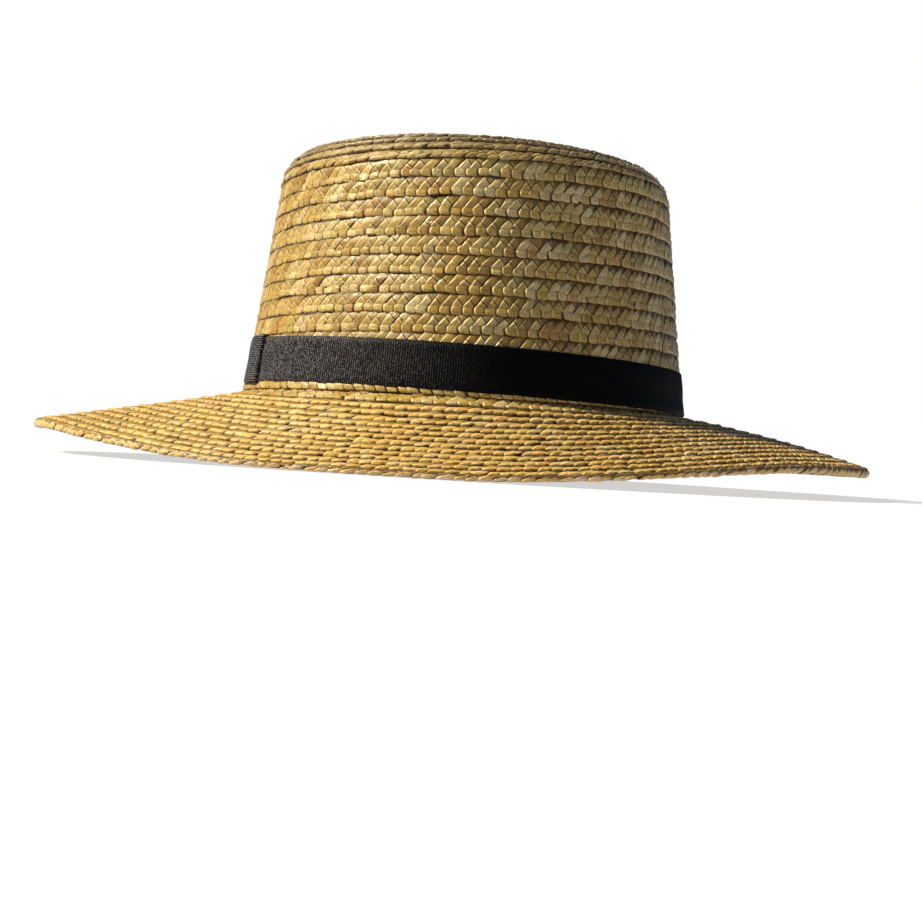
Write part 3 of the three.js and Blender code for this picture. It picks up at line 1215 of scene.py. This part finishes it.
@dataclass
class Brim:
    """The brim: rings of plait from behind the band, round the fold and out to the rim row."""

    wall: Wall
    plait: Plait = BRIM_PLAIT
    row: float = 0.0058
    first_edge: float = 0.1705
    rows: int = 14
    collar_rows: int = 1
    rim_drop: float = 0.0004
    collar_drop: float = 0.0
    sinking_rows: int = 4
    grain_height: float = 0.00055
    grain_scallop: float = 0.05
    hem_start: float = 0.9
    hem_tuck: float = 0.0002
    hem_depth: float = 0.0005
    hem_columns: int = 4
    hem_rows: int = 3
    first_seed: int = 40
    parts: tuple[tuple[str, int, int | None], ...] = (
        ("brim_inner", 0, 6),
        ("brim_middle", 6, 11),
        ("brim_outer", 11, None),
    )

    def row_plait(self, row: int, rows: int) -> Plait:
        """Chooses how a row is laid.

        The rows sink in steps from the collar, through the fold, to the flat of the brim.

        Args:
            row: the row, counted from the collar.
            rows: how many rows there are.

        Returns:
            The row's plait.
        """
        sunk = min(1.0, row / self.sinking_rows)
        laid = replace(self.plait, drop=self.collar_drop + (self.plait.drop - self.collar_drop) * sunk)
        if row < self.collar_rows:
            return replace(laid, layers=(COLLAR,))
        if row == self.collar_rows:
            return laid
        laid = replace(laid, strand=self.grain_height)
        if row == rows - 1:
            return replace(laid, drop=self.rim_drop, layers=(RIM_GRAIN, RIM_LEAF))
        return replace(laid, scallop=self.grain_scallop, layers=(GRAIN, SUNK_LEAF))

    def hem(self, ring: Ring) -> Mesh:
        """Closes the underside with a strip from behind its last row to the rim row's lower edge.

        Args:
            ring: the rim's row, up to where the rim rounds under.

        Returns:
            The mesh, ruled straight across and marked as leaves.
        """
        right = np.linspace(0.0, ring.lanes, self.hem_columns * ring.lanes + 1)[:, None]
        level = 0.0 * right
        end = (self.wall.end - ring.upper) / (ring.lower - ring.upper)
        first = ring.place(right, level + self.hem_start, level + self.hem_tuck - self.wall.form.straw_wall)
        last = ring.place(right, level + end, level - self.hem_depth)
        share = np.linspace(0.0, 1.0, self.hem_rows + 1)[None, :]
        points = first + (last - first) * share[..., None]
        return patch_mesh(points, flat_marks(right + 1.0, 2.2 + 0.4 * share))

    def rings(self) -> list[Ring]:
        """Sets out the rows from the top of the collar to the rim."""
        edges = self.first_edge + self.row * np.arange(-self.collar_rows, self.rows + 1)
        edges[-1] = self.wall.end
        return [Ring(self.wall, upper, lower, self.plait.pitch, self.first_seed + row)
                for row, (upper, lower) in enumerate(zip(edges[:-1], edges[1:]))]

    def build(self, finish: Material) -> None:
        """Makes the top of the brim in three pieces and its underside."""
        rings = self.rings()
        for name, first, last in self.parts:
            meshes = []
            for row, ring in list(enumerate(rings))[first:last]:
                plait = self.row_plait(row, len(rings))
                meshes.extend(plait.outside(ring, np.arange(ring.lanes), 2 * ring.seed))
            wear(name, meshes, Solid.BRIM, finish)
        wall = self.wall.form.straw_wall
        under = []
        for ring in rings:
            ring.lower = min(ring.lower, self.wall.rim)
            under.append(self.plait.inside(ring, np.arange(ring.lanes), ring.seed, wall))
        under.append(self.hem(rings[-1]))
        wear("brim_under", under, Solid.BRIM, finish)


@dataclass
class HatBand:
    """The ribbon round the foot of the crown."""

    form: HatForm
    thickness: float = 0.0005
    ribs: int = 600
    rib_depth: float = 0.00012
    columns_per_rib: int = 4
    face_rows: int = 9
    edge_share: float = 0.02
    edge_depth: float = 0.6
    ripple: float = 0.00015
    ripple_waves: float = 1.3
    ripple_seed: int = 8

    def beside_crown(self, height: Grid, azimuth: Grid, out: Grid) -> Grid:
        """Places points that stand off the crown's side, at a height measured before the band's tilt."""
        level = height - self.form.band_tilt * np.sin(azimuth)
        radius = self.form.side_radius(level) + out * cos(self.form.taper)
        return self.form.place(radius, level + out * sin(self.form.taper), azimuth)

    def build(self, finish: Material) -> None:
        """Makes the ribbon as a closed band with fine upright ribs.

        The section runs up the outside and down the inside; a cosine round the hat gives the ribs, and a
        sine up the face, shifted by a slow wave round the hat, its ripples.
        """
        columns = self.ribs * self.columns_per_rib
        azimuth = 2.0 * pi * np.arange(columns)[:, None] / columns
        face = np.linspace(self.edge_share, 1.0 - self.edge_share, self.face_rows)
        edge = self.edge_depth
        share = np.concatenate([[0.0], face, [1.0, 1.0, 0.0, 0.0]])[None, :]
        depth = np.concatenate([[edge], np.ones(self.face_rows), [edge, 0.0, 0.0, edge]])[None, :]
        shows = depth > edge
        rib = 0.5 + 0.5 * np.cos(self.ribs * azimuth)
        slow = wander(9.0 * np.sin(azimuth) + 4.0 * np.cos(azimuth), self.ripple_seed)
        ripple = np.sin(2.0 * pi * self.ripple_waves * share + 2.0 * slow) * np.sin(pi * share)
        out = self.form.band_gap + self.thickness * depth
        out = out + (self.rib_depth * rib + self.ripple * ripple) * shows
        points = self.beside_crown(self.form.band_foot + self.form.band_width * share, azimuth, out)
        turn = np.arange(columns + 1)[:, None] / columns * self.ribs
        mesh = hoop_mesh(points, flat_marks(turn, share))
        wear("ribbon_band", [mesh], Solid.HAT_BAND, finish)


@dataclass
class BandKeeper:
    """The short upright loop of ribbon over the band."""

    band: HatBand
    start: float = radians(-76.5)
    end: float = radians(-61.5)
    lip: float = 0.0008
    rib: float = 0.00085
    rib_depth: float = 0.0001
    rows_per_rib: int = 4
    columns: int = 24
    thin: float = 0.0004
    thick: float = 0.0018
    thick_from: float = 0.7
    edge_power: int = 14
    bow: float = 0.25
    bow_power: int = 6
    end_depth: float = 0.9

    def build(self, finish: Material) -> None:
        """Makes the loop: a face over the band that turns in over both of its edges.

        The face stands off the band the more the further it lies to the right; its two ends are closed
        by walls that come down on the band.
        """
        band = self.band
        gap = band.form.band_gap
        foot = band.form.band_foot - gap - self.lip
        head = band.form.band_foot + band.form.band_width + gap + self.lip
        ribs = round((head - foot) / self.rib)
        across = np.concatenate([[0.0], np.linspace(0.0, 1.0, self.columns + 1), [1.0]])[:, None]
        up = np.concatenate([[0.0], np.linspace(0.0, 1.0, self.rows_per_rib * ribs + 1), [1.0]])[None, :]
        azimuth = self.start + (self.end - self.start) * across
        rounding = np.sqrt(np.maximum(1.0 - np.abs(2.0 * up - 1.0) ** self.edge_power, 0.0))
        bow = 1.0 - self.bow * np.abs(2.0 * across - 1.0) ** self.bow_power
        stand = self.thin + (self.thick - self.thin) * smooth_step(0.0, self.thick_from, across)
        out = gap + (band.thickness + stand * bow) * rounding
        out = out + self.rib_depth * np.cos(2.0 * pi * ribs * up)
        out[[0, -1]] = gap + self.end_depth * band.thickness * rounding
        out[:, [0, -1]] = gap
        points = band.beside_crown(foot + (head - foot) * up, azimuth, out)
        mesh = patch_mesh(points, flat_marks(up * ribs, across))
        wear("ribbon_keeper", [mesh], Solid.BAND_KEEPER, finish)


@dataclass
class Studio:
    """Pale floor, soft light from the upper left and the camera at the photo's angle."""

    camera_place: tuple[float, float, float] = (0.0037, -0.687, 0.008)
    aim: tuple[float, float, float] = (0.0037, 0.0, 0.0054)
    roll: float = radians(3.47)
    lens: float = 67.85
    sensor: float = 36.0
    nearest: float = 0.01
    floor_size: float = 400.0
    key_azimuth: float = radians(-82.0)
    key_height: float = radians(43.0)
    key_distance: float = 3.0
    key_softness: float = radians(10.0)
    key_power: float = 8.0
    key_colour: tuple[float, float, float] = (1.0, 0.86, 0.60)
    sky_colour: Colour = (0.095, 0.118, 0.18, 1.0)
    white: Colour = (1.0, 1.0, 1.0, 1.0)
    floor_colour: Colour = (0.25, 0.28, 0.35, 1.0)
    floor_roughness: float = 0.9
    floor_glow: float = 0.6

    def build(self) -> None:
        """Makes the floor, the light, the sky and the camera."""
        self.make_floor()
        self.make_sun()
        self.make_sky()
        self.make_camera()

    def make_floor(self) -> None:
        """Lays the floor."""
        half = self.floor_size / 2.0
        mesh = bpy.data.meshes.new("floor")
        corners = [(-half, -half, 0.0), (half, -half, 0.0), (half, half, 0.0), (-half, half, 0.0)]
        mesh.from_pydata(corners, [], [(0, 1, 2, 3)])
        floor = bpy.data.objects.new("floor", mesh)
        bpy.context.scene.collection.objects.link(floor)
        made = bpy.data.materials.new("floor_paper")
        NodeBoard(made).dress({
            "Base Color": self.floor_colour,
            "Roughness": self.floor_roughness,
            "Specular IOR Level": 0.0,
            "Emission Color": self.white,
            "Emission Strength": self.floor_glow,
        })
        mesh.materials.append(made)

    def make_sun(self) -> None:
        """Hangs a broad, warm key light far off to the upper left."""
        data = bpy.data.lights.new("key", "SUN")
        data.energy = self.key_power
        data.color = self.key_colour
        data.angle = self.key_softness
        lamp = bpy.data.objects.new("key", data)
        level = cos(self.key_height)
        away = Vector((sin(self.key_azimuth) * level, -cos(self.key_azimuth) * level, sin(self.key_height)))
        lamp.location = away * self.key_distance
        lamp.rotation_euler = (-away).to_track_quat("-Z", "Y").to_euler()
        bpy.context.scene.collection.objects.link(lamp)

    def make_sky(self) -> None:
        """Sets an even pale sky that looks white and lights softly."""
        world = bpy.data.worlds.new("studio")
        bpy.context.scene.world = world
        world.use_nodes = True
        nodes, links = world.node_tree.nodes, world.node_tree.links
        nodes.clear()
        soft = nodes.new("ShaderNodeBackground")
        soft.inputs["Color"].default_value = self.sky_colour
        white = nodes.new("ShaderNodeBackground")
        white.inputs["Color"].default_value = self.white
        ray = nodes.new("ShaderNodeLightPath")
        mix = nodes.new("ShaderNodeMixShader")
        sky = nodes.new("ShaderNodeOutputWorld")
        links.new(ray.outputs["Is Camera Ray"], mix.inputs["Fac"])
        links.new(soft.outputs["Background"], mix.inputs[1])
        links.new(white.outputs["Background"], mix.inputs[2])
        links.new(mix.outputs["Shader"], sky.inputs["Surface"])
        bpy.context.scene.view_settings.view_transform = "Standard"

    def make_camera(self) -> None:
        """Sets the camera, level with the brim and turned a little about its line of sight."""
        data = bpy.data.cameras.new("camera")
        data.sensor_width = self.sensor
        data.lens = self.lens
        data.clip_start = self.nearest
        camera = bpy.data.objects.new("camera", data)
        look = Vector(self.aim) - Vector(self.camera_place)
        level = look.to_track_quat("-Z", "Y")
        camera.location = self.camera_place
        camera.rotation_mode = "QUATERNION"
        camera.rotation_quaternion = level @ Quaternion((0.0, 0.0, 1.0), self.roll)
        bpy.context.scene.collection.objects.link(camera)
        bpy.context.scene.camera = camera


def main() -> None:
    """Builds the hat's pieces in order, then the studio."""
    logging.basicConfig(level=logging.INFO, format="%(name)s: %(message)s")
    form = HatForm()
    wall = Wall(form)
    straw = StrawFinish("wheat_straw").material()
    ribbon = RibbonFinish("grosgrain").material()
    Crown(wall).build(straw)
    Brim(wall).build(straw)
    band = HatBand(form)
    band.build(ribbon)
    BandKeeper(band).build(ribbon)
    Studio().build()


if __name__ == "__main__":
    main()
